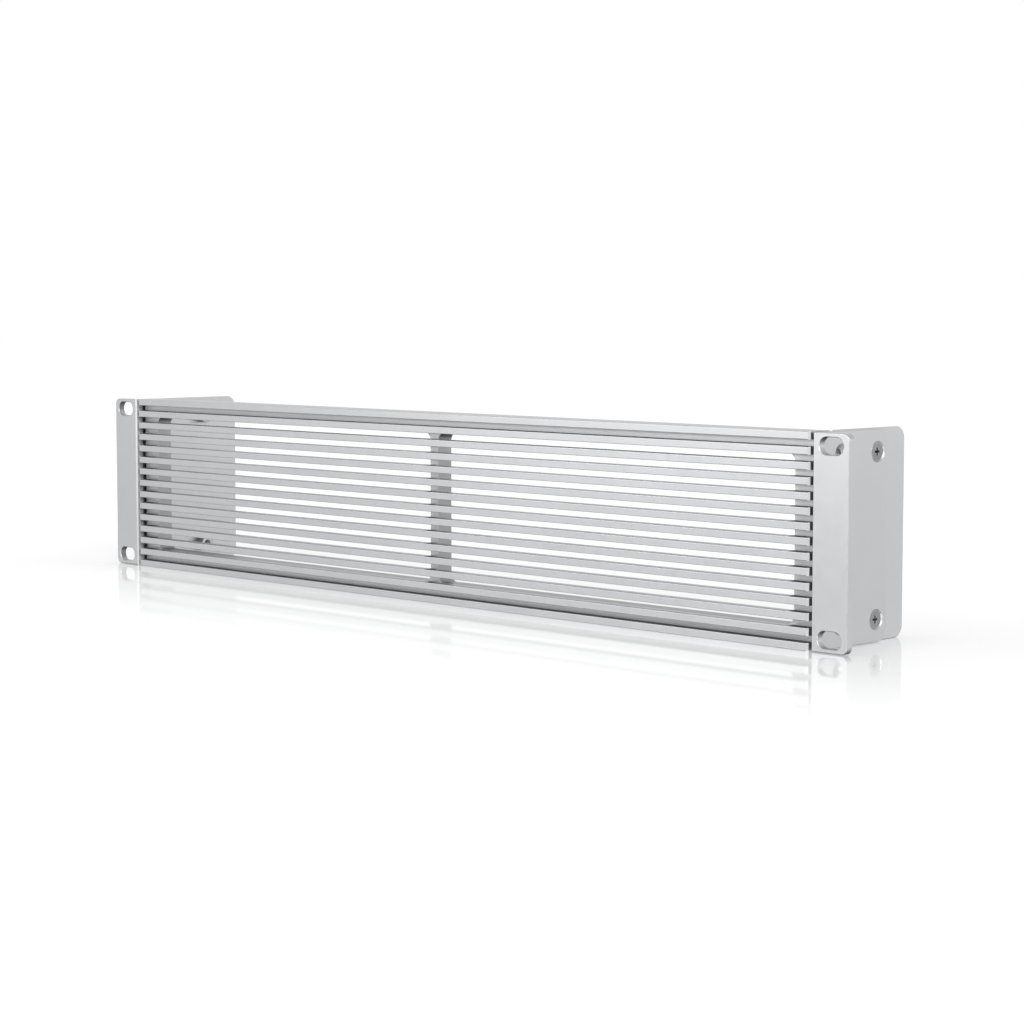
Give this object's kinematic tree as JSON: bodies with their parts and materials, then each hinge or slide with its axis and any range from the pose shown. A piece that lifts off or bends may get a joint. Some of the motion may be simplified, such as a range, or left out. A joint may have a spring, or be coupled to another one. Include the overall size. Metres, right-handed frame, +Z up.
{
  "type": "vented blanking panel",
  "caption": "Vented rack blanking panel in satin silver aluminium: level fins cross milled windows, between slotted rack ears whose flanges are screwed to side plates.",
  "frame": {"origin": "middle of the slot pattern, on the ears' back faces where they meet the rack's posts", "axes": "+X to the right along the panel, +Y to the back into the rack, +Z up"},
  "size_m": [0.4826, 0.062, 0.0868],
  "materials": {
    "grille_aluminium": "bead-blasted and clear anodised, satin",
    "ear_aluminium": "bead-blasted and clear anodised, satin",
    "plate_aluminium": "bead-blasted and clear anodised, satin",
    "screw_steel": "nickel-plated, satin",
    "nut_steel": "zinc-plated, satin"
  },
  "bodies": {
    "root": {"front_grille": "grille_aluminium", "right_rack_ear": "ear_aluminium", "right_side_plate": "plate_aluminium", "right_upper_ear_screw": "screw_steel", "right_upper_clinch_nut": "nut_steel", "right_lower_ear_screw": "screw_steel", "right_lower_clinch_nut": "nut_steel", "right_grille_screw_1": "screw_steel", "right_grille_screw_2": "screw_steel", "right_grille_screw_3": "screw_steel", "right_grille_screw_4": "screw_steel", "left_rack_ear": "ear_aluminium", "left_side_plate": "plate_aluminium", "left_upper_ear_screw": "screw_steel", "left_upper_clinch_nut": "nut_steel", "left_lower_ear_screw": "screw_steel", "left_lower_clinch_nut": "nut_steel", "left_grille_screw_1": "screw_steel", "left_grille_screw_2": "screw_steel", "left_grille_screw_3": "screw_steel", "left_grille_screw_4": "screw_steel"}
  },
  "joints": []
}
